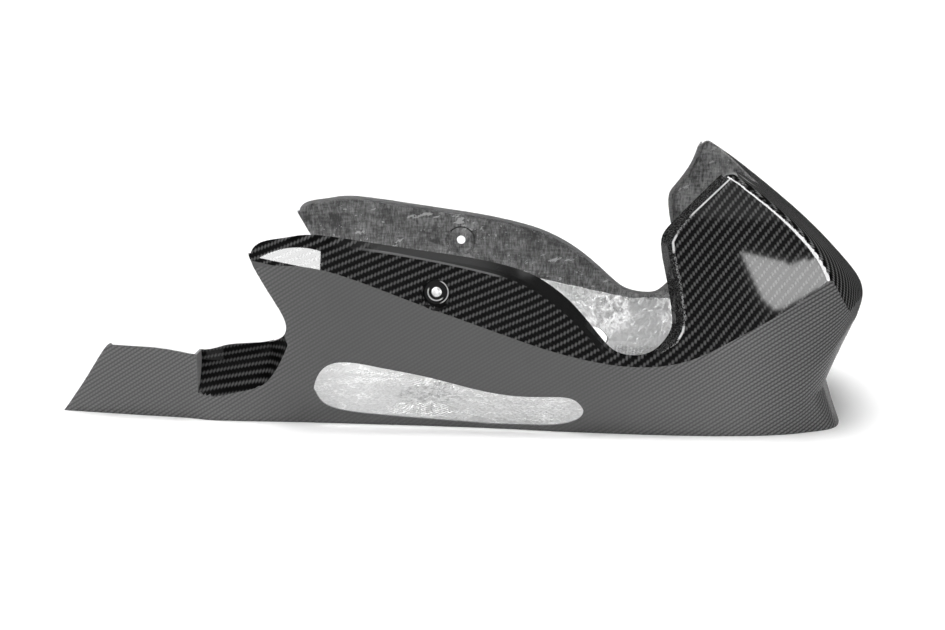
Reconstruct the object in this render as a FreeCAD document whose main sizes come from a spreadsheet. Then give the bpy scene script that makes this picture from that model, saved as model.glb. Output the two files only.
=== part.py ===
"""Motorcycle belly pan: one moulded carbon laminate with a heat foil bonded inside it.

Millimetres. X points to the front of the motorcycle, Z up, Y to its left; Y = 0 is the middle
plane and Z = 0 the flat floor. The pan is a trough: a lower form that flares out from the floor and an
upper form that leans in meet in the style crease, and the rim turns in as a narrow band.
"""
import FreeCAD, Part
import os
from FreeCAD import Vector

NEAR, FAR = -1, 1

# Each size: alias, value, what it is
SIZES = [
    ("wall", 2.0, "thickness of the laminate"),
    ("foil", 0.3, "thickness of the heat foil"),
    ("floor_front", 299.5, "front end of the floor on the middle plane"),
    ("valley_height", 31.0, "height of the valley between the chin and the bow"),
    ("valley_front", 290.5, "bottom of that valley on the middle plane"),
    ("waist_height", 140.0, "height at which the lower form's upper outline is given"),
    ("waist_front", 348.5, "front of that outline on the middle plane"),
    ("lean", 0.245, "how far the upper form leans in for each mm of height"),
    ("hip_height", 50.0, "height at which the upper form's widths are given"),
    ("hip", 150.0, "half width of the upper form at the hip height"),
    ("band_depth", 10.0, "how far the rim band turns in from the hip plane"),
    ("tip_x", -170.0, "rear tip of the side wing, along the length"),
    ("tip_z", 137.0, "rear tip of the side wing, height"),
    ("wing_peak", 151.5, "height of the side wing's top"),
    ("shoulder_x", 42.0, "where the rim starts down into the notch"),
    ("shoulder_z", 127.0, "height of that shoulder"),
    ("notch_x", 132.0, "bottom of the rim notch, along the length"),
    ("notch_z", 63.5, "bottom of the rim notch, height"),
    ("notch_front", 160.0, "front side of the rim notch"),
    ("ear_back", 151.0, "rearmost point of the ear's rear edge"),
    ("ear_x", 204.0, "top corner of the ear, along the length"),
    ("ear_z", 204.5, "top corner of the ear, height"),
    ("far_shift", 18.0, "how much further forward the notch lies on the left wall"),
    ("far_lift", 4.0, "how much higher and further back the top corner of the left ear lies"),
    ("slot_back", -122.0, "rear end of the side slot"),
    ("slot_front", 92.5, "front end of the side slot"),
    ("slot_low", 4.0, "lowest point of the side slot"),
    ("slot_high", 51.0, "highest point of the side slot"),
    ("slot_shift", 20.0, "how much further forward the slot lies on the left wall"),
    ("tail_x", -334.0, "rear tip of the tail"),
    ("tail_top", 57.5, "height of the tail's top edge"),
    ("scoop_back", -217.0, "rear side of the scoop in the right wall"),
    ("scoop_depth", 26.0, "how deep the scoop goes in"),
    ("bolt_x", -22.5, "side mounting hole, along the length"),
    ("bolt_z", 110.0, "side mounting hole, height"),
    ("bolt_bore", 8.0, "diameter of the side mounting hole"),
    ("bolt_seat", 19.0, "diameter of the flat seat round the hole"),
    ("bolt_dip", 4.5, "depth of the seat under the wall's outer face"),
    ("ear_round", 8.0, "radius of the ear's top corner"),
    ("bow_round", 7.0, "radius of the edge between a side wall and the hood"),
    ("apex_x", 236.0, "middle of the front wall's top edge"),
    ("foil_top", 74.0, "upper edge of the foil beside the wings"),
    ("foil_front", 216.0, "front end of the foil, behind the bow"),
    ("foil_margin", 1.0, "how far the foil stays back from the edge of a side slot"),
    ("foil_dip", 55.0, "upper edge of the foil under the notch and in the bow"),
]

doc = FreeCAD.newDocument("belly_pan")
sheet = doc.addObject("Spreadsheet::Sheet", "Sizes")
for row, (alias, value, note) in enumerate(SIZES, 1):
    sheet.set(f"A{row}", note)
    sheet.set(f"B{row}", str(value))
    sheet.setAlias(f"B{row}", alias)
doc.recompute()


def size(alias):
    """A driving dimension, read back from the sheet."""
    return float(sheet.get(alias))


WALL, FOIL = size("wall"), size("foil")
LEAN, HIP = size("lean"), size("hip")
HIP_Z = size("hip_height")
REACH = 400.0

# Floor outline of the right half, from the tail to the middle of the front: x, half width
FLOOR_LINE = [(-345, 89), (-270, 102.5), (-222, 110.5), (-198, 116), (-111, 117.5), (11, 124), (70, 131),
              (142, 136.7), (205, 136.7), (246, 130), (268, 121), (286, 110.5), (295, 96), (298, 76), (299, 40)]
# The same points at the valley above the chin: None where the wall runs straight past it
VALLEY_LINE = [None] * 9 + [(250.5, 131.8), (267.5, 124.5), (277, 111.5), (282, 95), (285.5, 74), (289.5, 40)]
# The same points on the lower form's upper outline
WAIST_LINE = [(-345, 99), (-270, 112), (-222, 118), (-190, 119), (-130, 131), (-22, 146), (60, 155),
              (136, 156.5), (190, 144.5), (240, 136), (281, 129), (307, 117.5), (323, 95), (335, 71), (345, 36)]
# Side line of the upper form at the hip height: x, half width less that of the hip
HIP_LINE = [(-345, -34), (-215, -18), (-170, -9), (-130, -1), (-85, 1.5), (-22, -0.5), (60, -3), (136, -4)]
# The hood of the bow: height, x of its side corner, x of its front, power of its plan curve
HOOD = [(-16, 304, 312, 2), (22, 301, 308, 2), (60, 290, 309, 2), (79, 286, 315, 2.1),
        (98, 283.5, 321, 2.2), (117, 280, 309.5, 3.1), (136, 273, 291, 4.4), (174, 241.5, 245.5, 5),
        (212, 189, 190, 5)]
# Shares of the hood's half width at which its plan curve is set out, from past its corner inwards
HOOD_SHARES = (1.12, 0.78, 0.4)


def spline(points, span=3):
    """A smooth curve through the points, as edges that each pass a few of them."""
    whole = Part.BSplineCurve()
    count = len(points) - 1
    whole.interpolate(Points=points, Parameters=[i / count for i in range(count + 1)])
    edges = []
    for start in range(0, count, span):
        piece = whole.copy()
        piece.segment(start / count, min(start + span, count) / count)
        edges.append(piece.toShape())
    return edges


def polyline(points):
    """Straight edges from point to point."""
    return [Part.makeLine(a, b) for a, b in zip(points, points[1:])]


def between(low, high, share):
    """The point at a share of the way from one outline point to another."""
    return tuple(a + share * (b - a) for a, b in zip(low, high))


def both_sides(half, front):
    """A plan outline from its right half: near side, front point, far side."""
    near = [Vector(x, -y, z) for x, y, z in half]
    far = [Vector(x, y, z) for x, y, z in reversed(half)]
    return near + [front] + far


def lower_form(inset):
    """The part that flares out from the floor, with the valley over its chin."""
    waist, valley = size("waist_height"), size("valley_height")
    middle = {0: size("floor_front"), valley: size("valley_front"), waist: size("waist_front")}
    lines = {0: FLOOR_LINE + [(middle[0], 0)], waist: WAIST_LINE + [(middle[waist], 0)]}
    straight = [between(low, high, valley / waist) for low, high in zip(lines[0], lines[waist])]
    bent = VALLEY_LINE + [(middle[valley], 0)]
    lines[valley] = [bend or plain for bend, plain in zip(bent, straight)]
    top = 1.6 * waist
    share = (top - valley) / (waist - valley)
    lines[top] = [between(low, high, share) for low, high in zip(lines[valley], lines[waist])]
    sections = []
    for z, line in ((inset, lines[0]), (valley, lines[valley]), (top, lines[top])):
        half = [(x - inset * (x > 265), y - inset, z) for x, y in line[:-1]]
        points = both_sides(half, Vector(line[-1][0] - inset, 0, z))
        sections.append(Part.Wire(spline(points, 1) + [Part.makeLine(points[-1], points[0])]))
    return Part.makeLoft(sections, True, True)


def upper_walls(inset):
    """The two side walls that lean in above the crease, straight from top to bottom."""
    sections = []
    for z in (HOOD[0][0], HOOD[-1][0]):
        narrowing = LEAN * (z - HIP_Z) + inset
        side = [(x, HIP + less - narrowing, z) for x, less in HIP_LINE]
        near = spline([Vector(x, -y, z) for x, y, z in side])
        far = spline([Vector(x, y, z) for x, y, z in reversed(side)])
        start, end = near[0].Vertexes[0].Point, near[-1].Vertexes[-1].Point
        rear, front = far[-1].Vertexes[-1].Point, far[0].Vertexes[0].Point
        corners = [end, Vector(REACH, end.y, z), Vector(REACH, front.y, z), front]
        sections.append(Part.Wire(near + polyline(corners) + far + [Part.makeLine(rear, start)]))
    return Part.makeLoft(sections, True, True)


def hood(inset):
    """The bow's rounded hood, run back past the side walls."""
    sections = []
    for z, corner, front, power in HOOD:
        half = HIP - LEAN * (z - HIP_Z) - inset
        depth, front_x = front - corner, front - 1.3 * inset
        bow = [(front_x - depth * share ** power, share * half, z) for share in HOOD_SHARES]
        nose = spline(both_sides(bow, Vector(front_x, 0, z)), 1)
        right, left = nose[0].Vertexes[0].Point, nose[-1].Vertexes[-1].Point
        frame = [left, Vector(-REACH, left.y, z), Vector(-REACH, right.y, z), right]
        sections.append(Part.Wire(nose + polyline(frame)))
    return Part.makeLoft(sections, True, False, False, 3)


def upper_form(inset):
    """The side walls and the hood together, with a rounded edge between them on the outer face."""
    form = upper_walls(inset).common(hood(inset))
    if inset:
        return form
    corner = []
    for edge in form.Edges:
        middle, rise = edge.CenterOfMass, edge.BoundBox.ZLength
        if middle.x > HOOD[-1][1] and abs(middle.y) > 90 and rise > 20:
            corner.append(edge)
    return form.makeFillet(size("bow_round"), corner).Solids[0]


def ear_top(side):
    """The top corner of an ear: x, z."""
    lift = size("far_lift") if side == FAR else 0.0
    return size("ear_x") - lift, size("ear_z") + lift


def rim_line(side):
    """The rim's side view from the wing tip to the top of the ear: x, z, width of its band."""
    shift = size("far_shift") if side == FAR else 0.0
    tip_x, tip_z, peak = size("tip_x"), size("tip_z"), size("wing_peak")
    down_x, down_z = size("shoulder_x") - 0.4 * shift, size("shoulder_z")
    low_x, low_z = size("notch_x") + shift, size("notch_z") - 0.08 * shift
    front, back = size("notch_front") + 0.8 * shift, size("ear_back") + 0.8 * shift
    ear_x, ear_z = ear_top(side)
    drop, run = down_z - low_z, low_x - down_x
    return [
        (tip_x, tip_z, 0.5), (tip_x + 9, peak - 5.5, 1.5), (tip_x + 28, peak - 2, 2.5),
        (tip_x + 54, peak, 3), (tip_x + 110, peak - 7.5, 3.5), (down_x - 38, down_z + 8.5, 4.5),
        (down_x, down_z, 7), (down_x + 0.22 * run, down_z - 0.14 * drop, 10),
        (down_x + 0.46 * run, down_z - 0.40 * drop, 8), (down_x + 0.68 * run, down_z - 0.75 * drop, 4),
        (down_x + 0.83 * run, down_z - 0.95 * drop, 2.5), (low_x, low_z, 2),
        (front - 13, low_z + 4.5, 4), (front - 2, low_z + 17, 8), (front, low_z + 31, 9),
        (front - 4, low_z + 56, 9), (back, ear_z - 58, 8.5), (back + 7, ear_z - 42, 8),
        (back + 27 - 0.4 * shift, ear_z - 22, 7), (ear_x - 9, ear_z - 5.5, 6.5), (ear_x, ear_z, 6),
    ]


def sunk(line, share, extra):
    """The rim line moved into the wall by a share of its band width and by an extra amount."""
    moved = []
    for i, (x, z, band) in enumerate(line):
        before, after = line[max(i - 1, 0)], line[min(i + 1, len(line) - 1)]
        along = Vector(after[0] - before[0], 0, after[1] - before[1]).normalize()
        step = share * band + extra
        moved.append((x + along.z * step, z - along.x * step))
    return moved


def hip_point(side, x, z, depth):
    """A point at that length and height on the leaning plane at a depth inside the hip plane."""
    return Vector(x, side * (HIP - depth - LEAN * (z - HIP_Z)), z)


def rim_wire(side, share, depth, extra):
    """The closed side view under the rim, on a leaning plane."""
    outline = sunk(rim_line(side), share, extra)
    (first_x, first_z), (last_x, last_z) = outline[0], outline[-1]
    curve = spline([hip_point(side, x, z, depth) for x, z in outline])
    frame = [(last_x, last_z), (REACH, last_z + 4), (REACH, -20), (-REACH, -20), (-REACH, first_z),
             (first_x, first_z)]
    return Part.Wire(curve + polyline([hip_point(side, x, z, depth) for x, z in frame]))


def over_ears(side):
    """What the rounded top corner of one ear lacks."""
    radius, (x, z) = size("ear_round"), ear_top(side)
    near, low = 0.707 * radius, z - 0.707 * radius
    start, top, end = flat([(x - near, low), (x, z - 0.414 * radius), (x + near, low)])
    edges = [Part.Arc(start, top, end).toShape()]
    edges += polyline([end] + flat([(x + 3 * radius, z + 2 * radius), (x - 3 * radius, z + 2 * radius)]) + [start])
    return side_prism(edges, side * 70, side * 200)


def under_rim(extra):
    """Everything under the rim and its turned-in bands, lowered by an extra amount."""
    depth = size("band_depth")
    wires = [rim_wire(NEAR, 2, -depth, extra), rim_wire(NEAR, 0, depth, extra),
             rim_wire(FAR, 0, depth, extra), rim_wire(FAR, 2, -depth, extra)]
    return Part.makeLoft(wires, True, True)


def mouth():
    """The open space between the two rim bands, all along the trough."""
    depth = size("band_depth")
    ends = [hip_point(side, -REACH, z, depth) for side, z in ((NEAR, -20), (FAR, -20), (FAR, 260), (NEAR, 260))]
    face = Part.Face(Part.Wire(polyline(ends + ends[:1])))
    return face.extrude(Vector(2 * REACH, 0, 0))


def side_prism(edges, y_from, y_to):
    """A solid from a closed side view, drawn at Y = 0 and run from one Y to another."""
    face = Part.Face(Part.Wire(edges))
    face.translate(Vector(0, y_from, 0))
    return face.extrude(Vector(0, y_to - y_from, 0))


def flat(points):
    """Side-view points as vectors on the middle plane."""
    return [Vector(x, 0, z) for x, z in points]


def behind_wing(side):
    """What lies behind and above the tail and the rear edge of the wing, on one side."""
    tip_x, tip_z = size("tip_x") - 1.5, size("tip_z")
    notch = flat([(tip_x, tip_z - 2), (tip_x + 13, tip_z - 26), (tip_x + 24, tip_z - 44),
                  (tip_x + 29, tip_z - 57), (tip_x + 25, tip_z - 67)])
    if side == NEAR:
        tail, top = size("tail_x"), size("tail_top")
        run = notch[-1:] + flat([(tip_x + 18, tip_z - 73), (tip_x + 3, tip_z - 77), (tip_x - 22, top + 0.5),
                                 (tip_x - 40, top - 4), (tip_x - 58, top - 2.5), (tip_x - 80, top)])
        rear = flat([(tail + 46, top + 0.5), (tail + 38, top - 4), (tail + 24, top - 25), (tail + 8, 10), (tail, 0)])
        edges = spline(notch) + spline(run) + [Part.makeLine(run[-1], rear[0])] + spline(rear)
        edges += polyline([rear[-1]] + flat([(tail - 9, -10), (-REACH, -10), (-REACH, 260), (tip_x - 20, 260)]) +
                          notch[:1])
    else:
        run = notch[-1:] + flat([(tip_x + 20, tip_z - 90), (tip_x + 6, tip_z - 113), (tip_x - 16, tip_z - 125)])
        edges = spline(notch) + spline(run)
        edges += polyline(run[-1:] + flat([(-REACH, tip_z - 128), (-REACH, 260), (tip_x - 20, 260)]) + notch[:1])
    return side_prism(edges, 0, side * 200)


def behind_floor():
    """What the floor lacks behind its slanted rear end."""
    tail = size("tail_x")
    points = [Vector(x, y, -20) for x, y in ((tail - 2, -130), (tail - 2, -80), (tail + 30, -30), (-215, 60),
                                             (-185, 130))]
    edges = spline(points) + polyline([points[-1], Vector(-REACH, 130, -20), Vector(-REACH, -130, -20), points[0]])
    return Part.Face(Part.Wire(edges)).extrude(Vector(0, 0, 45))


def front_mouth():
    """The pointed end of the mouth: its sides are the top edges of the front wall."""
    apex, corner = size("apex_x"), size("ear_x") - 1
    half = HIP - LEAN * (size("ear_z") - HIP_Z) - 9
    points = [Vector(x, y, 120) for x, y in ((corner - 60, -half), (corner, -half), (apex - 3, -6), (apex, 0),
                                             (apex - 3, 6), (corner, half), (corner - 60, half))]
    return Part.Face(Part.Wire(polyline(points + points[:1]))).extrude(Vector(0, 0, 160))


def slot(side, margin):
    """The long side slot, cut square through one wall, grown by a margin."""
    shift = size("slot_shift") if side == FAR else 0.0
    back, front = size("slot_back") + shift - margin, size("slot_front") + shift + margin
    low, high = size("slot_low") - margin, size("slot_high") + margin
    tall = high - low
    top = [(back, low + 0.52 * tall), (back + 5, low + 0.80 * tall), (back + 16, high - 1), (back + 34, high),
           (back + 56, high - 3.5), (back + 90, low + 0.80 * tall), (back + 122, low + 0.64 * tall),
           (front - 69, low + 0.545 * tall), (front - 44, low + 0.51 * tall), (front - 17, low + 0.53 * tall),
           (front - 5, low + 0.46 * tall), (front, low + 0.33 * tall)]
    under = [(front - 5, low + 0.14 * tall), (front - 22, low + 1.5), (front - 47, low), (back + 135, low),
             (back + 82, low + 2.5), (back + 40, low + 5), (back + 14, low + 9.5), (back + 4, low + 0.36 * tall)]
    corner = (back, low + 0.52 * tall)
    return side_prism(spline(flat(top)) + spline(flat([top[-1]] + under + [corner])), 0, side * 200)


def scoop(margin):
    """The hollow that draws the right wall in behind the wing, with a square rear side."""
    back, deep = size("scoop_back"), size("scoop_depth")
    wires = []
    for share, rise in ((-0.4, -3), (0.1, 1), (0.6, 9), (1.0, 27)):
        y = -121 + share * deep + margin
        low = [(back, 18 + rise, 0), (back + 17, 18 + rise, 0), (back + 32, 22 + rise, 0),
               (back + 47, 26 + rise, 0), (back + 58, 33 + rise, 0), (back + 67 - 0.5 * rise, 46 + 0.7 * rise, 0),
               (back + 75 - 0.8 * rise, 64 + 0.5 * rise, 0)]
        points = sunk(low, 0, margin)
        points[0] = (back - margin, points[0][1])
        place = [Vector(x, y, z) for x, z in points]
        frame = polyline([place[-1], Vector(place[-1].x - 6, y, 84), Vector(back - margin, y, 84), place[0]])
        wires.append(Part.Wire(spline(place, 1) + frame))
    return Part.makeLoft(wires, True, False, False, 3)


def foil_field():
    """The part of the trough that the foil lines, from behind the wings' middle to the bow."""
    top, dip = size("foil_top"), size("foil_dip")
    back, down, low = size("slot_back") - 14, size("shoulder_x"), size("notch_x")
    end = size("foil_front")
    points = flat([(back, -5), (back, top), (down, top), (low, dip), (end, dip), (end, -5), (back, -5)])
    return side_prism(polyline(points), -200, 200)


def feature(name, shape):
    """A document object that holds a shape."""
    made = doc.addObject("Part::Feature", name)
    made.Shape = shape
    return made


def common(name, *parts):
    """The space that all the parts share."""
    made = doc.addObject("Part::MultiCommon", name)
    made.Shapes = list(parts)
    return made


def fuse(name, *parts):
    """The parts joined in one."""
    made = doc.addObject("Part::MultiFuse", name)
    made.Shapes = list(parts)
    return made


def cut(name, base, *tools):
    """The base with the tools taken out."""
    for number, tool in enumerate(tools, 1):
        made = doc.addObject("Part::Cut", name if number == len(tools) else f"{name}_{number}")
        made.Base, made.Tool = base, tool
        base = made
    return base


def across(name, kind, side, start, **lengths):
    """A primitive at the mounting hole whose axis runs outwards across one wall."""
    made = doc.addObject(kind, name)
    for prop, rule in lengths.items():
        made.setExpression(prop, rule)
    made.Placement.Rotation = FreeCAD.Rotation(Vector(1, 0, 0), -90 * side)
    made.setExpression("Placement.Base.x", "Sizes.bolt_x")
    made.setExpression("Placement.Base.y", f"{side} * ({start})")
    made.setExpression("Placement.Base.z", "Sizes.bolt_z")
    return made


def hull_form(name, inset):
    """The closed trough form, lower and upper parts together, at an inset from the outer face."""
    return common(name, feature(name + "_lower", lower_form(inset)), feature(name + "_upper", upper_form(inset)))


seat_y = "Sizes.hip - 0.5 - Sizes.lean * (Sizes.bolt_z - Sizes.hip_height) - Sizes.bolt_dip"
dishes, bosses, bores = [], [], []
for number, side in enumerate((NEAR, FAR)):
    dishes.append(across(f"dish_{number}", "Part::Cone", side, seat_y,
                         Radius1="Sizes.bolt_seat / 2", Radius2="Sizes.bolt_seat / 2 + 7", Height="14"))
    bosses.append(across(f"boss_{number}", "Part::Cone", side, seat_y + " - Sizes.wall",
                         Radius1="Sizes.bolt_seat / 2 + Sizes.wall", Radius2="Sizes.bolt_seat / 2 + Sizes.wall + 7",
                         Height="14"))
    bores.append(across(f"bore_{number}", "Part::Cylinder", side, seat_y + " - 20",
                        Radius="Sizes.bolt_bore / 2", Height="40"))
scoop_face, scoop_back = feature("scoop_face", scoop(0.0)), feature("scoop_back", scoop(WALL))

outside, inside = hull_form("outside", 0.0), hull_form("inside", WALL)
solid_pan = common("solid_pan", outside, feature("rim_outside", under_rim(0.0)))
opening = fuse("opening", feature("rim_inside", under_rim(1.4 * WALL)), feature("mouth", mouth()))
hollow = common("hollow", inside, opening)
room = cut("room", hollow, scoop_back, *bosses)
trimmings = [feature(f"behind_wing_{i}", behind_wing(side)) for i, side in enumerate((NEAR, FAR))]
trimmings += [feature(f"over_ear_{i}", over_ears(side)) for i, side in enumerate((NEAR, FAR))]
trimmings += [feature("behind_floor", behind_floor()), feature("front_mouth", front_mouth())]
slots = [feature(f"slot_{i}", slot(side, 0.0)) for i, side in enumerate((NEAR, FAR))]

blank = cut("blank", solid_pan, *trimmings, scoop_face, *slots, *dishes, *bores)
pan_shell = cut("pan_shell", blank, room)

field = common("field", inside, feature("foil_field", foil_field()))
windows = [feature(f"window_{i}", slot(side, size("foil_margin"))) for i, side in enumerate((NEAR, FAR))]
heat_foil = cut("heat_foil", field, *windows, hull_form("foil_face", WALL + FOIL))
doc.recompute()


for item in doc.Objects:
    if {"Invalid", "Error"} & set(item.State):
        raise RuntimeError(item.Name + " did not build")

os.makedirs("parts", exist_ok=True)
for node in (pan_shell, heat_foil):
    shape = node.Shape
    if shape.isNull() or not shape.isValid() or len(shape.Solids) != 1:
        raise RuntimeError(node.Name + " is not one valid solid")
    node.Label = node.Name
    shape.exportStep(f"parts/{node.Label}.step")
    print(node.Label, round(shape.Volume), shape.BoundBox)
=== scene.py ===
# %% [markdown]
# # A motorcycle belly pan in woven carbon
# The pan is a trough that hangs under an engine. It is moulded from a few layers of carbon cloth in
# resin, lacquered outside, and lined with a heat foil inside. The packed CAD model gives its exact shape,
# so this lesson starts from that shape and spends its work on cloth, lacquer, resin, foil and light.

# %% Load the frame
import math
import bpy
import bmesh
import numpy as np
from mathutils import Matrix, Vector, noise


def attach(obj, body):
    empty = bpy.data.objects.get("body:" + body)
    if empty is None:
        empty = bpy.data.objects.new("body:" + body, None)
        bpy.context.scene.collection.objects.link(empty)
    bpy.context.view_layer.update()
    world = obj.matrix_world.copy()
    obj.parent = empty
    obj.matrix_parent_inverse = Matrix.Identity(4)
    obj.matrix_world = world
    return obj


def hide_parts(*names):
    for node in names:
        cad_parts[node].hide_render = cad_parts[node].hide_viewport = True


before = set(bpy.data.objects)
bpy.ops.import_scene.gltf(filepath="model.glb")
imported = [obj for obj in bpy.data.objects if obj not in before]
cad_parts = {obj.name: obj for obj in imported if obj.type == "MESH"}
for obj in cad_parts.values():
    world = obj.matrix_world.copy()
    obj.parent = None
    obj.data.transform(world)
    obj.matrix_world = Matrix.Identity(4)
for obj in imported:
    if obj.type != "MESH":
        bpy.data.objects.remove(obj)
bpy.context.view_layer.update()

# %% [markdown]
# ## A short way to write shader sums
# A weave is a sum on two distances. Wiring twenty Math nodes by hand hides that sum, so a small class
# wraps a socket and lets Python's own signs add the nodes. Every other node comes from one method.

# %% A signal
class Signal:
    """A number that changes over a surface. Sums on it add Math nodes."""

    def __init__(self, finish, socket):
        self.finish, self.socket = finish, socket

    def __add__(self, other):
        return self.finish.math("ADD", self, other)

    def __sub__(self, other):
        return self.finish.math("SUBTRACT", self, other)

    def __rsub__(self, other):
        return self.finish.math("SUBTRACT", other, self)

    def __mul__(self, other):
        return self.finish.math("MULTIPLY", self, other)

    def __mod__(self, other):
        return self.finish.math("FLOORED_MODULO", self, other)

    def __lt__(self, other):
        return self.finish.math("LESS_THAN", self, other)

    def __gt__(self, other):
        return self.finish.math("GREATER_THAN", self, other)

    __radd__, __rmul__ = __add__, __mul__


print("a signal takes the signs + - * % < >")

# %% A finish
class Finish:
    """A material, with its shader's even values given by name."""

    def __init__(self, name, **even):
        self.material = bpy.data.materials.new(name)
        self.material.use_nodes = True
        self.tree = self.material.node_tree
        self.shader = self.tree.nodes["Principled BSDF"]
        for socket, value in even.items():
            self.shader.inputs[socket.replace("_", " ")].default_value = value

    def node(self, kind, settings=None, inputs=None):
        """A node of that kind: its settings are set first, then its sockets get values or links."""
        made = self.tree.nodes.new(kind)
        for key, value in (settings or {}).items():
            if key == "stops":
                for number, (place, shade) in enumerate(value):
                    stops = made.color_ramp.elements
                    stop = stops[number] if number < len(stops) else stops.new(place)
                    stop.position, stop.color = place, (shade, shade, shade, 1)
            else:
                setattr(made, key, value)
        for key, value in (inputs or {}).items():
            if isinstance(value, Signal):
                value = value.socket
            if isinstance(value, bpy.types.NodeSocket):
                self.tree.links.new(value, made.inputs[key])
            else:
                made.inputs[key].default_value = value
        return made

    def math(self, operation, *values):
        """One Math node, as a signal."""
        made = self.node("ShaderNodeMath", {"operation": operation}, dict(enumerate(values)))
        return Signal(self, made.outputs[0])

    def step(self, value, low, high):
        """0 below low, 1 above high, and smooth between. With low above high it runs the other way."""
        sizes = {"Value": value, "From Min": low, "From Max": high}
        made = self.node("ShaderNodeMapRange", {"interpolation_type": "SMOOTHSTEP"}, sizes)
        return Signal(self, made.outputs[0])

    def near(self, value, inner, outer):
        """1 where a value lies within inner of zero, and 0 where it is further than outer from it."""
        return self.step(self.math("ABSOLUTE", value), outer, inner)

    def place(self):
        """The point on the piece, as three signals in metres."""
        point = self.node("ShaderNodeTexCoord").outputs["Object"]
        split = self.node("ShaderNodeSeparateXYZ", inputs={0: point})
        return [Signal(self, socket) for socket in split.outputs]

    def grain(self, x, y, z, scale, detail=2.0, roughness=0.5):
        """Smooth noise between 0 and 1 over three signals."""
        point = self.node("ShaderNodeCombineXYZ", inputs={0: x, 1: y, 2: z}).outputs[0]
        sizes = {"Vector": point, "Scale": scale, "Detail": detail, "Roughness": roughness}
        return Signal(self, self.node("ShaderNodeTexNoise", inputs=sizes).outputs[0])

    def blend(self, share, low, high):
        """The colour that lies that share of the way from low to high."""
        made = self.node("ShaderNodeMix", {"data_type": "RGBA"}, {0: share, 6: low, 7: high})
        return made.outputs[2]

    def feed(self, socket, value):
        """Links a signal or a colour to the shader."""
        self.tree.links.new(getattr(value, "socket", value), self.shader.inputs[socket])

    def bump(self, height, depth):
        """Raises the surface by a height from 0 to 1, times a depth in metres."""
        made = self.node("ShaderNodeBump", {}, {"Strength": 1.0, "Distance": depth, "Height": height})
        self.feed("Normal", made.outputs[0])


print("a finish can:", [name for name in vars(Finish) if not name.startswith("_")])

# %% A grey
def grey(value):
    """A neutral colour: the whole pan is black, white and the greys between."""
    return (value, value, value, 1.0)


print("a dark grey:", grey(0.1))

# %% [markdown]
# ## The cloth
# The real cloth is a 2 by 2 twill: each tow, a flat bundle of fibres two millimetres wide, passes over two
# others and under two, one step along from its neighbour, and that makes the diagonal ribs. An image could
# show this, but a pattern of sums is sharp at any size and stays the same from every side.

# %% The twill
TOW = 0.00207
REPEAT = 4.0
HALF_REPEAT_TURN = math.pi / 2
TOW_ROUNDNESS = 0.6
FIBRES_ACROSS, FIBRES_ALONG = 9.0, 0.7


def twill(finish, across, along, turn):
    """A twill over two distances in metres: which tow is on top, its height, its fibres, the rib's height."""
    cos, sin = math.cos(math.radians(turn)) / TOW, math.sin(math.radians(turn)) / TOW
    a, b = across * cos + along * sin, along * cos - across * sin
    column, row = finish.math("FLOOR", a), finish.math("FLOOR", b)
    on_top = ((column - row) % REPEAT) < 1.5
    warp_run, weft_run = (b - column + 1.0) % REPEAT, (a - row + 2.0) % REPEAT
    warp_arch = finish.math("SINE", warp_run * HALF_REPEAT_TURN)
    weft_arch = finish.math("SINE", weft_run * HALF_REPEAT_TURN)
    warp_round = finish.math("SINE", (a - column) * math.pi)
    weft_round = finish.math("SINE", (b - row) * math.pi)
    warp_height = finish.math("ABSOLUTE", warp_arch) * finish.math("POWER", warp_round, TOW_ROUNDNESS)
    weft_height = finish.math("ABSOLUTE", weft_arch) * finish.math("POWER", weft_round, TOW_ROUNDNESS)
    height = warp_height * on_top + weft_height * (1.0 - on_top)
    warp_fibre = finish.grain(a * FIBRES_ACROSS, b * FIBRES_ALONG, 0.0, 1.0)
    weft_fibre = finish.grain(a * FIBRES_ALONG, b * FIBRES_ACROSS, 3.0, 1.0)
    fibre = warp_fibre * on_top + weft_fibre * (1.0 - on_top)
    rib = finish.math("ABSOLUTE", finish.math("SINE", (a - b + 0.5) * HALF_REPEAT_TURN))
    return on_top, height, fibre, rib


print("the weave repeats every", round(REPEAT * TOW * 1000, 1), "mm along a tow")

# %% [markdown]
# The cloth lies flat on each wall and was bent round the dip between wing and ear, where its ribs turn
# from a slant of 23 degrees to one of 51. Measuring along that bend keeps the tows at their width. On the
# bow the cloth wraps round, so the distance is measured round the bow and not across it.

# %% Distances over the cloth
BEND_START, BEND_ANGLE, BEND_RADIUS, BEND_CENTRE = 0.050, math.radians(28), 0.25, 0.34
WALL_STRETCH = 1.03
BOW_CENTRE, BOW_RADIUS = 0.19, 0.14


def bent_cloth(finish, x, z):
    """Distances along and across a cloth that is straight, bent through an arc, and straight again."""
    run, drop = x - BEND_START, BEND_CENTRE - z * WALL_STRETCH
    turned = finish.math("MAXIMUM", finish.math("ARCTAN2", run, drop), 0.0)
    angle = finish.math("MINIMUM", turned, BEND_ANGLE)
    sin, cos = finish.math("SINE", angle), finish.math("COSINE", angle)
    out_x, out_z = run - sin * BEND_RADIUS, cos * BEND_RADIUS - drop
    along = angle * BEND_RADIUS + out_x * cos + out_z * sin
    across = out_z * cos - out_x * sin
    return along, across


def wrapped_cloth(finish, x, y):
    """Distance forward along the wall, and round the bow in front of it."""
    aside = finish.math("ABSOLUTE", y)
    ahead = finish.math("MAXIMUM", x - BOW_CENTRE, 0.0)
    turn = finish.math("ARCTAN2", ahead, aside)
    return finish.math("MINIMUM", x, BOW_CENTRE) + turn * BOW_RADIUS


print("the bend is", round(BEND_ANGLE * BEND_RADIUS * 1000), "mm long")

# %% [markdown]
# ## Lacquered carbon
# Bare carbon is dark, yet one set of tows shines where the other is black, because fibres throw light to
# their sides only. Two greys for the two sets give that at a fraction of the cost of real fibres. The
# clear coat on top is smooth: the weave bends the light under it, not on it.

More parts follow.
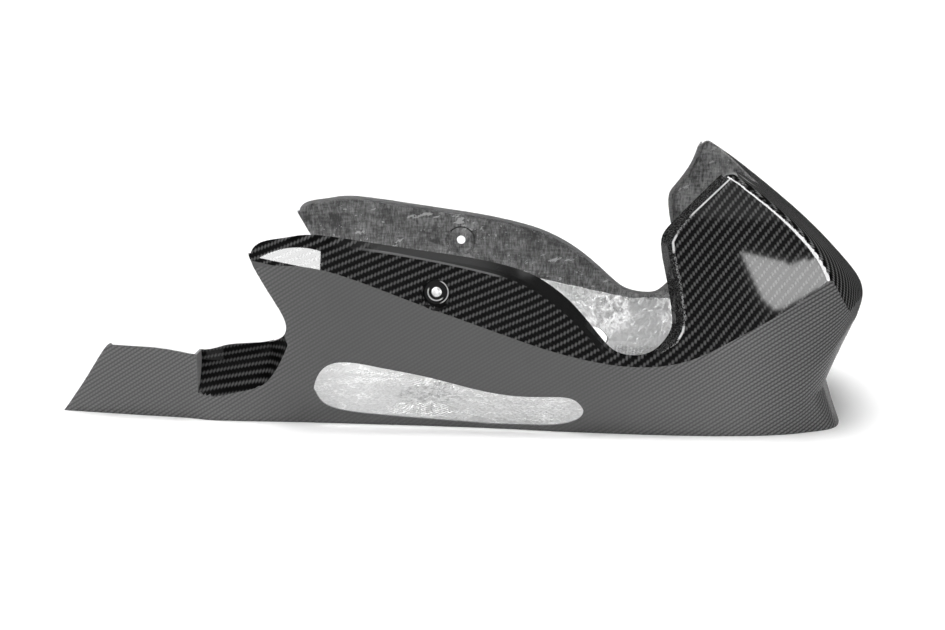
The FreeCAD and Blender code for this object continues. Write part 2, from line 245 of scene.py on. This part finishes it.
# %% Lacquered twill
LACQUER = {"Coat_Roughness": 0.03, "Coat_IOR": 1.5, "Specular_IOR_Level": 0.02}
WEAVE_DEPTH = 0.00012
DEEPEST = 0.001


def carbon(name, cloth, turn, warp, weft, gap, coat=1.0, lines=0.0, change=None):
    """Lacquered twill. Each set of tows has a grey, gap is the grey between, and lines joins tows to ribs."""
    finish = Finish(name, Coat_Weight=coat, **LACQUER)
    x, y, z = finish.place()
    on_top, height, fibre, rib = twill(finish, *cloth(finish, x, y, z), turn)
    tows, ribs = height * (1.0 - lines), rib * (0.45 + 0.55 * height) * lines
    light = (tows + ribs) * (0.75 + 0.5 * fibre)
    warp_shade = finish.blend(light, grey(gap), grey(warp))
    weft_shade = finish.blend(light, grey(DEEPEST if weft < gap else gap), grey(weft))
    colour = finish.blend(on_top, weft_shade, warp_shade)
    if change:
        colour = change(finish, x, y, z, colour)
    finish.feed("Base Color", colour)
    finish.feed("Roughness", 0.4 + 0.2 * fibre)
    finish.bump(height, WEAVE_DEPTH)
    return finish.material


print("lacquer:", LACQUER)

# %% Sides with painted sheen
EVEN_SIDE = 0.086


def sides_with_painted_sheen(finish, x, y, z, colour):
    """Painted sheen: the weave shows towards the bow and the tail, and fades to an even grey between."""
    painted_sheen = 0.82 * finish.step(x, 0.06, 0.25) + 0.5 * finish.step(0.0 - x, 0.08, 0.22)
    finish.feed("Coat Weight", 0.9 - 0.7 * finish.step(x, 0.20, 0.27))
    return finish.blend(0.90 - painted_sheen, colour, grey(EVEN_SIDE))


print("grey of the calm sides:", EVEN_SIDE)

# %% [markdown]
# ## Bands along the rim
# In the photograph a plain dark band follows the rim, with a thin bright line along its inner border. The
# band could be cut out of the wall as faces of its own, but the wall is smooth there, so it is drawn in the
# finish: a ramp or a curve says where the border lies, and each side of it gets its own colour. A mirror
# image would move with the camera, and this drawn band doesn't.
# The thin bright line is a painted highlight, for the light a rounded edge would mirror.

# %% Band along the ear
# The band's inner border, as height and distance forward in millimetres, from the notch to the ear's top
EAR_BORDER = [(67, 152.5), (74, 163.6), (83, 168.5), (93, 170), (115, 166.8), (141, 161), (150, 160.1),
              (159, 164.7), (172, 175.8), (199, 204.5)]
# The ramp starts at the height LOWEST and is TALL; it gives distances from REARMOST, up to LONG more
LOWEST, TALL, REARMOST, LONG = 60, 150, 150, 60
LEFT_SHIFT = 0.02


def ear_band(finish, x, y, z, colour):
    """The band along the ear's rim is plain and dark, with a painted highlight in spots along its inner
    border.
    """
    stops = [((high - LOWEST) / TALL, (ahead - REARMOST) / LONG) for high, ahead in EAR_BORDER]
    share = (z - LOWEST / 1000) * (1000 / TALL)
    curve = finish.node("ShaderNodeValToRGB", {"stops": stops}, {0: share}).outputs[0]
    border = Signal(finish, curve) * (LONG / 1000) + REARMOST / 1000
    ahead = x - LEFT_SHIFT * (y > 0.0)
    ear = finish.step(ahead, 0.138, 0.142) * finish.step(z, 0.066, 0.069) * finish.step(0.199 - z, 0.0, 0.002)
    inside = finish.step(border - ahead, 0.0, 0.0006) * ear
    speck = finish.grain(x, y, z, 900.0, 3.0, 0.7)
    plain = finish.blend(finish.step(speck, 0.45, 0.7), grey(0.006), grey(0.10))
    # Painted highlight: a thin pale line along the border, brighter at the top, the bend and the foot.
    line = finish.near(ahead - border, 0.0005, 0.0012) * ear
    top = finish.step(z, 0.168, 0.172)
    bend = finish.step(z, 0.141, 0.144) * finish.step(0.157 - z, 0.0, 0.003)
    foot = finish.step(z, 0.076, 0.079) * finish.step(0.088 - z, 0.0, 0.003)
    bright = top + bend + foot + 0.4 * finish.step(speck, 0.48, 0.55)
    return finish.blend(line * bright, finish.blend(inside, colour, plain), grey(0.8))


print("points on the ear band's border:", len(EAR_BORDER))

# %% Band along the wing
BORDER_X, BORDER_HEIGHT, NOTCH_START = -0.047, 0.138, 0.026


def wing_band(finish, x, z, colour):
    """The band along the wing's rim and the notch is plain and dark too, with a thin painted highlight below
    it.
    """
    run, fall = x - BORDER_X, finish.math("MAXIMUM", x - NOTCH_START, 0.0)
    above = z - (BORDER_HEIGHT - 0.16 * run - 0.6 * (run * run) - 5.2 * (fall * fall))
    wing = finish.step(x, -0.095, -0.060) * finish.step(0.112 - x, 0.0, 0.008)
    dark = finish.blend(finish.step(x, 0.0, 0.04), grey(0.045), grey(0.006))
    band = finish.blend(finish.step(above, 0.0, 0.0006) * wing, colour, dark)
    # Painted highlight: a thin pale line just below the band.
    line = finish.near(above, 0.0005, 0.0010) * wing * finish.step(0.030 - x, 0.0, 0.006)
    return finish.blend(line * 0.8, band, grey(0.20))


print("the wing band's border is", BORDER_HEIGHT, "m high at x =", BORDER_X)

# %% [markdown]
# In the photograph only the flat part of the wing's tip mirrors something white. A card will do that here,
# so the lacquer is switched off round that part. The screw's dish is black, with an arc of light on each of
# its two rounded edges. With full lacquer it would mirror the white floor and look grey, so it gets little,
# and the arcs are drawn as parts of rings.

# %% The wing's tip, the screw's dish and the scoop
UNDER_TIP = 0.125
BOLT_X, BOLT_Z = -0.0225, 0.110
DISH, OUTER_EDGE, INNER_EDGE = 0.0104, 0.0091, 0.0066


def wing_tip(finish, x, y, z, colour):
    """The upper wall with both bands, and with its tip lacquered only between rounded rim and crease."""
    back = x + 0.130
    crease, rim = 0.1317 - 0.152 * (x + 0.1687), 0.1435 - 8.5 * back * back
    flat = finish.step(z - crease, 0.0030, 0.0036) * finish.step(rim - z, 0.0, 0.0006)
    behind = finish.step(0.0 - x, 0.100, 0.104)
    finish.feed("Coat Weight", 1.0 - behind * (1.0 - flat))
    # Painted reflection: below the crease the tip, which has no lacquer, is drawn in the grey of the
    # lacquered lower side that mirrors the floor.
    below = finish.step(crease - z, 0.0, 0.0005) * finish.step(0.0 - x, 0.118, 0.122)
    tip = finish.blend(below, colour, grey(UNDER_TIP))
    return wing_band(finish, x, z, ear_band(finish, x, y, z, tip))


def scoop_shine(finish, x, y, z, colour):
    """The screw's dish is black with painted highlight arcs on its edges, and the scoop shines at its rear
    corner.
    """
    at_dish, at_corner = x > -0.1, (x < -0.199) * (z > 0.045)
    finish.feed("Coat Weight", 0.25 * at_dish + 0.3 * at_corner)
    ahead, up = x - BOLT_X, z - BOLT_Z
    reach = finish.math("SQRT", ahead * ahead + up * up)
    # Painted highlights: an arc on each of the dish's two rounded edges.
    outer = finish.near(reach - OUTER_EDGE, 0.0002, 0.0006) * finish.step(ahead, 0.002, 0.005)
    inner = finish.near(reach - INNER_EDGE, 0.0002, 0.0007) * finish.step(ahead * 0.7 + up, 0.0, -0.003)
    black = finish.blend(reach < DISH, colour, grey(0.004))
    return finish.blend(at_dish * (outer + inner), black, grey(0.85))


print("the dish is black within", DISH, "m, with arcs at", OUTER_EDGE, "and", INNER_EDGE)

# %% The four carbon finishes
# The four are one cloth; their different greys for the tows are painted sheen, for the light the tows throw
# in each part.
carbon_upper = carbon("carbon_upper", lambda f, x, y, z: bent_cloth(f, x, z), turn=-22.0,
                      warp=0.122, weft=0.0006, gap=0.005, change=wing_tip)
carbon_hood = carbon("carbon_hood", lambda f, x, y, z: (y, z * 1.45), turn=10.0,
                     warp=0.21, weft=0.001, gap=0.001, coat=0.2)
carbon_lower = carbon("carbon_lower", lambda f, x, y, z: (wrapped_cloth(f, x, y), z * 1.01), turn=-12.0,
                      warp=0.24, weft=0.26, gap=0.030, coat=0.9, lines=1.0, change=sides_with_painted_sheen)
carbon_scoop = carbon("carbon_scoop", lambda f, x, y, z: (x, z), turn=-34.0,
                      warp=0.09, weft=0.0010, gap=0.008, change=scoop_shine)
print("carbon:", carbon_upper.name, carbon_hood.name, carbon_lower.name, carbon_scoop.name)

# %% [markdown]
# ## Inside and edge
# The inside looks bare: grey, cloudy resin with the cloth faintly under it, and pale drips and scratches.
# Noise at several sizes gives that mix without an image. The trimmed edge shows the cut plies as a thin,
# paler line.

# %% Resin and cut edge
RESIN_TONES = [(0.0, 0.015), (0.36, 0.04), (0.50, 0.13), (0.64, 0.28), (0.80, 0.50), (1.0, 0.65)]


def resin():
    """The bare, cloudy inside of the laminate, with the cloth's threads, drips and scratches."""
    finish = Finish("resin_inside", Coat_Weight=0.35, Coat_Roughness=0.22, Specular_IOR_Level=0.4)
    x, y, z = finish.place()
    cloud = finish.grain(x, y, z, 60.0, 5.0, 0.65)
    patch = finish.grain(x, y, z, 14.0, 2.0)
    threads = finish.grain(x * 2.4, y, z * 0.55, 250.0, 3.0, 0.7)
    cross = finish.grain(x * 0.5, y, z * 2.4, 230.0, 2.0)
    streak = finish.grain(x * 0.35 + z * 0.2, y, z - x * 0.45, 150.0, 3.0, 0.6)
    speck = finish.grain(x, y, z, 300.0, 1.0)
    scratch = (streak > 0.63) * (cloud > 0.5) + (speck > 0.72) * (patch > 0.45)
    ear = finish.step(x, 0.08, 0.14)
    tone = cloud * 0.7 + patch * 0.3 + (threads - 0.5) * 0.9 + (cross - 0.5) * 0.4 + 0.03 + 0.16 * ear
    bare = finish.node("ShaderNodeValToRGB", {"stops": RESIN_TONES}, {0: tone}).outputs[0]
    finish.feed("Base Color", finish.blend(scratch * 0.7, bare, grey(0.8)))
    finish.feed("Roughness", 0.25 + 0.4 * cloud)
    finish.bump(cloud * 0.6 + threads * 0.4, 0.0012)
    return finish.material


def cut_edge():
    """The trimmed edge, with its plies as fine lines."""
    finish = Finish("cut_edge", Specular_IOR_Level=0.4)
    x, y, z = finish.place()
    plies = finish.grain(x * 0.2, y * 3.0, z * 0.4, 900.0)
    finish.feed("Base Color", finish.blend(plies, grey(0.13), grey(0.42)))
    finish.feed("Roughness", 0.45 + 0.3 * plies)
    return finish.material


resin_inside, cut_plies = resin(), cut_edge()
print("bare finishes:", resin_inside.name, cut_plies.name)

# %% [markdown]
# ## The laminate
# The packed shell is right in shape but plain: its triangles are loose, and one material covers it all.
# A copy is merged so that light flows over it, and its faces are sorted by where they lie and where they
# look: lacquered outside, bare inside, trimmed edge. The copy then stands for the packed shell.

# %% Copy and merge the shell
MERGE_GAP = 0.00002


def copy_of(node, name):
    """A merged copy of a packed node, as the active object in object mode."""
    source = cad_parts[node]
    made = bpy.data.objects.new(name, source.data.copy())
    bpy.context.scene.collection.objects.link(made)
    bpy.ops.object.select_all(action="DESELECT")
    made.select_set(True)
    bpy.context.view_layer.objects.active = made
    if made.data.has_custom_normals:
        bpy.ops.mesh.customdata_custom_splitnormals_clear()
    bpy.ops.object.mode_set(mode="EDIT")
    bpy.ops.mesh.select_all(action="SELECT")
    bpy.ops.mesh.remove_doubles(threshold=MERGE_GAP)
    bpy.ops.object.mode_set(mode="OBJECT")
    return made


shell = copy_of("pan_shell", "carbon_shell")
print("shell:", len(shell.data.vertices), "points", len(shell.data.polygons), "faces")

# %% Sort the shell's faces by finish
UPPER, HOOD, LOWER, SCOOP, INSIDE, EDGE = range(6)
# The trimmed edge lies on a leaning plane: HIP less BAND from the middle at HIP_HEIGHT, and closer above
HIP, HIP_HEIGHT, LEAN_SLOPE, BAND = 0.150, 0.050, 0.245, 0.010
DISH_REACH, FLOOR_TOP = 0.0112, 0.0045
SCOOP_BACK, SCOOP_FRONT, SCOOP_SIDE, SCOOP_TOP, SCOOP_DEPTH = -0.222, -0.135, 0.08, 0.088, 0.0006
BOW_START, CHIN_TOP = 0.2, 0.06


def tail_wall(x, z):
    """How far out the right wall would lie at the scoop if nothing were drawn in there."""
    low = np.interp(x, (-0.222, -0.198, -0.111), (0.1105, 0.116, 0.1175))
    high = np.interp(x, (-0.222, -0.190, -0.130), (0.118, 0.119, 0.131))
    return low + (high - low) * z / 0.14


def finish_of(centre, normal):
    """The finish of a face, from its middle and from the way it looks."""
    x, y, z = centre
    outward = Vector((max(x - BOW_CENTRE, 0.0), y, 0)).normalized().dot(normal)
    rim_gap = HIP - BAND - LEAN_SLOPE * (z - HIP_HEIGHT) - abs(y)
    leaning = Vector((0, 1 if y > 0 else -1, LEAN_SLOPE)).normalized()
    if abs(rim_gap) < 0.0001 and abs(normal.dot(leaning)) > 0.97:
        return EDGE
    if abs(normal.y) < 0.02 and abs(y) > 0.08 and abs(normal.z) < 0.999:
        return EDGE
    if math.hypot(x - BOLT_X, z - BOLT_Z) < DISH_REACH and outward > 0.2:
        return SCOOP
    if z < FLOOR_TOP:
        return LOWER if normal.z < -0.5 or outward > 0.1 else INSIDE
    by_scoop = SCOOP_BACK < x < SCOOP_FRONT and y < -SCOOP_SIDE and z < SCOOP_TOP and outward > -0.3
    if by_scoop and -y < tail_wall(x, z) - SCOOP_DEPTH:
        return SCOOP
    if normal.z < -0.62 or (outward < 0 and normal.z < 0.55):
        return INSIDE
    if x > BOW_START:
        if z < CHIN_TOP or normal.z < 0.05:
            return LOWER
        return HOOD if normal.x > 0.35 else UPPER
    return LOWER if normal.z < 0.12 and abs(normal.y) > 0.85 else UPPER


shell.data.materials.clear()
for material in (carbon_upper, carbon_hood, carbon_lower, carbon_scoop, resin_inside, cut_plies):
    shell.data.materials.append(material)
for face in shell.data.polygons:
    face.material_index = finish_of(face.center, face.normal)
print("faces by finish:", np.bincount([face.material_index for face in shell.data.polygons]).tolist())

# %% [markdown]
# Smooth shading would bend the flat walls towards their rounded edges, and a mirror image on them would
# bend too. So the edges between two finishes stay sharp, and each point takes its normal from the large
# faces round it.

# %% Shade the shell
bpy.ops.object.shade_smooth_by_angle(angle=math.radians(24))
borders = {}
for face in shell.data.polygons:
    for key in face.edge_keys:
        borders.setdefault(key, set()).add(face.material_index)
for edge in shell.data.edges:
    if len(borders[edge.key]) > 1:
        edge.use_edge_sharp = True
weighted = shell.modifiers.new("weighted", "WEIGHTED_NORMAL")
weighted.mode, weighted.weight, weighted.keep_sharp = "FACE_AREA", 100, True
bpy.ops.object.modifier_apply(modifier="weighted")
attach(shell, "root")
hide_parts("pan_shell")
print("sharp edges:", sum(edge.use_edge_sharp for edge in shell.data.edges))

# %% [markdown]
# ## The heat foil
# The foil looks pressed in by hand over an embossed backing: it is dented all over, and it is folded where
# there is too much of it. The folds are moved points, because they cast shadows; the small dents are bump.
# Points can only be moved where there are some, so the foil is first cut in a grid of three millimetres.

# %% Foil finish
EMBOSSING = 1500.0
CRUMPLE_X, CRUMPLE_Y = -0.038, -0.030


def foil_finish():
    """Bright foil with small dents and creases, with painted highlights, glowing painted glints and painted
    shade.
    """
    finish = Finish("heat_foil_bright", Specular_IOR_Level=0.6, Emission_Strength=1.0)
    x, y, z = finish.place()

    def spots(low, high, *noise_values):
        return finish.step(finish.grain(*noise_values), low, high)

    dents, fine = finish.grain(x, y, z, 300.0, 2.0, 0.5), finish.grain(x, y, z, 620.0, 2.0)
    crease, patch = finish.grain(x, y, z, 46.0, 4.0, 0.6), finish.grain(x, y, z, 20.0)
    ridge = finish.math("ABSOLUTE", crease - 0.5) * 2.0
    wall = finish.step(z, 0.008, 0.014)
    across = finish.math("SINE", (x + z) * EMBOSSING)
    along = finish.math("SINE", (z - x * 0.3 + y) * EMBOSSING)
    embossed = across * along * 0.10 * (1.0 - wall)
    # The creases are bump; the light along their ridges is a painted highlight, in patches.
    bright = finish.step(ridge, 0.08 + 0.06 * wall, 0.0) * finish.step(patch, 0.42, 0.55)
    bright = bright * finish.step(fine, 0.4, 0.5)
    off_x, off_y = x - CRUMPLE_X, y - CRUMPLE_Y
    far = off_x * off_x * 1100.0 + off_y * off_y * 500.0
    # Painted shade in the crumpled place round CRUMPLE_X, CRUMPLE_Y.
    crumple_shade = spots(0.50, 0.58, x, y, z, 230.0, 3.0, 0.8) * finish.step(far, 1.0, 0.3)
    top_wall = finish.step(z, 0.044, 0.058) * spots(0.5, 0.66, x * 1.6, y, z * 0.5, 300.0)
    dark = spots(0.53, 0.60, x + z, y, z - x, 210.0, 3.0, 0.7) * finish.step(patch, 0.5, 0.6)
    tone = dents * 0.7 + fine * 0.5 - 0.25 + embossed + 0.6 * bright
    tone = tone - 0.8 * crumple_shade - 0.6 * wall * (top_wall + dark)
    # Painted glints on the walls, streaks and crease highlights, made to glow through the emission.
    streak = spots(0.55, 0.62, x * 1.2 + z, y, z * 0.4 - x * 0.3, 240.0, 3.0, 0.7) * wall
    glint = streak * finish.step(patch, 0.4, 0.5) + bright * wall
    # Painted light: the walls are drawn lighter than the floor.
    lit = tone * (1.0 - wall * 0.4) + 0.15 + wall * 0.55
    finish.feed("Base Color", finish.blend(lit, grey(0.36), grey(0.98)))
    finish.feed("Emission Color", finish.blend(glint, grey(0.0), grey(0.42)))
    finish.feed("Metallic", 0.4 - 0.25 * wall)
    finish.feed("Roughness", 0.26 + 0.22 * dents)
    finish.bump(dents * 0.4 + ridge * 0.5 + embossed, 0.0034)
    return finish.material


heat_foil_bright = foil_finish()
print("foil finish:", heat_foil_bright.name, "with", len(heat_foil_bright.node_tree.nodes), "nodes")

# %% Cut the foil in a grid
GRID = 0.003
# For each axis, the first cut and where the cuts stop
CUTS = [(-0.133, 0.215), (-0.138, 0.139), (0.006, 0.073)]
foil = copy_of("heat_foil", "heat_foil_lining")
grid = bmesh.new()
grid.from_mesh(foil.data)
for axis, (start, stop) in enumerate(CUTS):
    normal = Vector([float(number == axis) for number in range(3)])
    for place in np.arange(start, stop, GRID):
        parts = grid.verts[:] + grid.edges[:] + grid.faces[:]
        bmesh.ops.bisect_plane(grid, geom=parts, dist=1e-6, plane_co=normal * float(place), plane_no=normal)
print("foil grid:", len(grid.faces), "faces")

# %% The folds
# Each fold on the floor: its two ends in x and y, its height and its width
FOLDS = [
    ((-0.134, 0.056), (-0.062, 0.036), 0.0022, 0.0028),
    ((-0.120, 0.030), (-0.070, 0.024), 0.0010, 0.0030),
    ((-0.062, 0.028), (-0.020, -0.004), 0.0035, 0.0040),
    ((-0.052, 0.004), (-0.030, 0.022), 0.0030, 0.0026),
    ((-0.032, -0.012), (-0.034, -0.066), 0.0016, 0.0022),
    ((-0.030, -0.016), (-0.016, -0.002), 0.0014, 0.0024),
    ((-0.056, -0.080), (-0.022, -0.082), 0.0060, 0.0085),
    ((-0.048, -0.070), (-0.040, -0.094), 0.0030, 0.0024),
    ((-0.034, -0.068), (-0.030, -0.094), 0.0030, 0.0024),
    ((0.060, -0.040), (0.078, -0.030), 0.0010, 0.0030),
]
WALL_FOOT, WALL_FOLD, WALL_FOLD_SHARE = 0.01, 0.0007, 0.18


def fold_height(point):
    """How far the foil stands off its bed at a point of its inner face."""
    rise = 0.0005 * (noise.noise(point * 110.0) + 0.7)
    if point.z > WALL_FOOT:
        ridge = abs(noise.noise(point * 42.0 + Vector((7.0, 0.0, 0.0))))
        return rise + WALL_FOLD * max(0.0, WALL_FOLD_SHARE - ridge) / WALL_FOLD_SHARE
    for start, end, high, wide in FOLDS:
        a, b = Vector(start), Vector(end)
        flat = Vector(point[:2])
        share = min(max((flat - a).dot(b - a) / (b - a).length_squared, 0.0), 1.0)
        gap = (flat - a.lerp(b, share)).length + 0.0012 * noise.noise(point * 260.0)
        rise += high * math.exp(-(gap / wide) ** 2)
    return rise


print("folds:", len(FOLDS), "and the highest is", max(fold[2] for fold in FOLDS) * 1000, "mm")

# %% Fold the foil
FOIL_REAR, FOIL_TOP, HALF_WIDTH, REACH_BACK = -0.1355, 0.004, 0.1, 0.028
INNER_FACE, FOIL_FRONT = 0.85, 0.214
for point in grid.verts:
    x, y, z = point.co
    if x < FOIL_REAR and z < FOIL_TOP and abs(y) < HALF_WIDTH:
        point.co.x -= REACH_BACK * (1.0 - (y / HALF_WIDTH) ** 4)
grid.normal_update()
moves = []
for point in grid.verts:
    side = 1.0 if point.co.y > 0 else -1.0
    inner = point.normal.z > INNER_FACE or point.normal.y * side < -INNER_FACE
    if inner and point.co.x < FOIL_FRONT:
        moves.append((point, point.normal * fold_height(point.co)))
for point, move in moves:
    point.co += move
grid.to_mesh(foil.data)
grid.free()
foil.data.materials.clear()
foil.data.materials.append(heat_foil_bright)
bpy.ops.object.shade_smooth_by_angle(angle=math.radians(40))
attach(foil, "root")
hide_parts("heat_foil")
print("foil:", len(foil.data.polygons), "faces,", len(moves), "points moved")

# %% [markdown]
# ## Studio
# In the photograph the flared sides look grey, as if they mirrored a white floor, and the leaning upper
# walls look black, as if the room in front were dark. So the floor is white, and the sky is white close to
# the floor and overhead, and dim in between.

# %% Floor
bpy.ops.object.select_all(action="DESELECT")
bpy.ops.mesh.primitive_plane_add(size=120.0, location=(0, 0, -0.0002))
floor = bpy.context.active_object
floor.name = "studio_floor"
floor.data.transform(floor.matrix_world)
floor.matrix_world.identity()
floor.location = (0, 0, 0)
white_floor = Finish("white_floor", Base_Color=grey(0.93), Roughness=0.85, Specular_IOR_Level=0.1,
                     Emission_Color=grey(1.0), Emission_Strength=0.1)
floor.data.materials.append(white_floor.material)
print("floor:", tuple(floor.dimensions))

# %% Sky
sky = bpy.data.worlds.new("studio_sky")
bpy.context.scene.world = sky
sky.use_nodes = True
tree = sky.node_tree
DIM, OVERHEAD = 0.08, 9.0


def sky_node(kind, values):
    """A node of the sky, with its sockets' values or links."""
    made = tree.nodes.new(kind)
    for key, value in values.items():
        if isinstance(value, bpy.types.NodeSocket):
            tree.links.new(value, made.inputs[key])
        else:
            made.inputs[key].default_value = value
    return made


def ramp(socket, low, high):
    """0 below low, 1 above high, on a socket of the sky."""
    made = sky_node("ShaderNodeMapRange", {"Value": socket, "From Min": low, "From Max": high})
    return made.outputs[0]


def between(share, low, high):
    """The number that lies that share of the way from low to high."""
    return sky_node("ShaderNodeMapRange", {"Value": share, "To Min": low, "To Max": high}).outputs[0]


def product(first, second):
    """Two sockets of the sky multiplied."""
    made = tree.nodes.new("ShaderNodeMath")
    made.operation = "MULTIPLY"
    tree.links.new(first, made.inputs[0])
    tree.links.new(second, made.inputs[1])
    return made.outputs[0]


sky_way = tree.nodes.new("ShaderNodeTexCoord").outputs["Generated"]
sky_rise = sky_node("ShaderNodeSeparateXYZ", {0: sky_way}).outputs[2]
dim_zone = product(ramp(sky_rise, 0.05, 0.14), ramp(sky_rise, 0.96, 0.90))
strength = product(between(dim_zone, 1.0, DIM), between(ramp(sky_rise, 0.89, 0.96), 1.0, OVERHEAD))
tree.links.new(strength, tree.nodes["Background"].inputs["Strength"])
tree.nodes["Background"].inputs["Color"].default_value = (1, 1, 1, 1)
print("sky:", len(tree.nodes), "nodes")

# %% [markdown]
# A mirror shows its surroundings, so glossy carbon is lit by shapes. Each bright card below hangs where
# its reflection falls on the right spot: one makes the white patch on the wing's tip, one the pale facet
# on the ear, one the faint light above that, and one the line along the bow's edge. The cards of the wing
# and the bow also lift the rest of the near side a little. Two dark cards, one behind the pan and one on
# the floor by its bow, keep the hood and the bow's front edge dark.

# %% Cards that only reflections see
HIDDEN_FROM = ("camera", "diffuse", "transmission", "shadow", "volume_scatter")


def card(name, points, strength):
    """A flat shape that glows, seen in reflections only."""
    mesh = bpy.data.meshes.new(name)
    mesh.from_pydata(points, [], [list(range(len(points)))])
    made = bpy.data.objects.new(name, mesh)
    bpy.context.scene.collection.objects.link(made)
    glow = Finish(name + "_glow", Base_Color=grey(0.0), Specular_IOR_Level=0.0, Roughness=1.0,
                  Emission_Color=grey(1.0), Emission_Strength=strength)
    mesh.materials.append(glow.material)
    for ray in HIDDEN_FROM:
        setattr(made, "visible_" + ray, False)
    print("card:", name, "strength", strength)


def seen_from(centre, low, high, distance=2.5):
    """The corners of a card between two pairs of azimuth and height angles, as seen from a point."""
    corners = []
    for azimuth, height in ((low[0], low[1]), (high[0], low[1]), (high[0], high[1]), (low[0], high[1])):
        turn, rise = math.radians(azimuth), math.radians(height)
        way = Vector((math.sin(turn) * math.cos(rise), -math.cos(turn) * math.cos(rise), math.sin(rise)))
        corners.append(Vector(centre) + way * distance)
    return corners


print("a card is hidden from:", HIDDEN_FROM)

# %% Hang the cards
EAR_FACET = [(0.417, 0.925), (0.505, 0.905), (0.530, 0.905), (0.570, 0.925), (0.800, 0.990), (0.800, 0.890),
             (0.590, 0.850), (0.507, 0.800), (0.488, 0.793), (0.461, 0.818)]
card("wing_card", seen_from((-0.13, -0.13, 0.14), (-50, 8), (-16.5, 28)), 20.0)
card("ear_card", [(x, -2.5, z) for x, z in EAR_FACET], 8.0)
card("ear_top_card", seen_from((0.2, -0.12, 0.17), (-8, 19), (10, 34)), 0.5)
card("bow_card", seen_from((0.26, -0.12, 0.15), (15, 14), (50, 44)), 22.0)
card("back_card", [(-1.2, 0.9, 0.0), (3.0, 0.9, 0.0), (3.0, 0.9, 1.1), (-1.2, 0.9, 1.1)], 0.02)
SIDE_FLOOR = [(0.40, -0.25), (3.0, -0.8), (3.0, 0.9), (0.40, 0.9)]
card("side_card", [(x, y, 0.0001) for x, y in SIDE_FLOOR], 0.06)

# %% [markdown]
# ## Camera
# The camera was fitted to the outline in the photograph. It stands a metre and a half from the pan, a
# little above it and a little to its front, with a short telephoto lens.

# %% Camera
camera = bpy.data.objects.new("camera", bpy.data.cameras.new("camera"))
bpy.context.scene.collection.objects.link(camera)
camera.location = (0.09856, -1.501, 0.37074)
camera.rotation_euler = (math.radians(78.54), 0.0, math.radians(3.88))
camera.data.lens, camera.data.sensor_width = 68.571, 36.0
bpy.context.scene.camera = camera
bpy.context.scene.view_settings.view_transform = "Standard"
print("camera at", tuple(camera.location), "with a lens of", camera.data.lens, "mm")

# %% [markdown]
# ## Sizes
# The scene is as large as the CAD model: nothing in it scales the pieces.
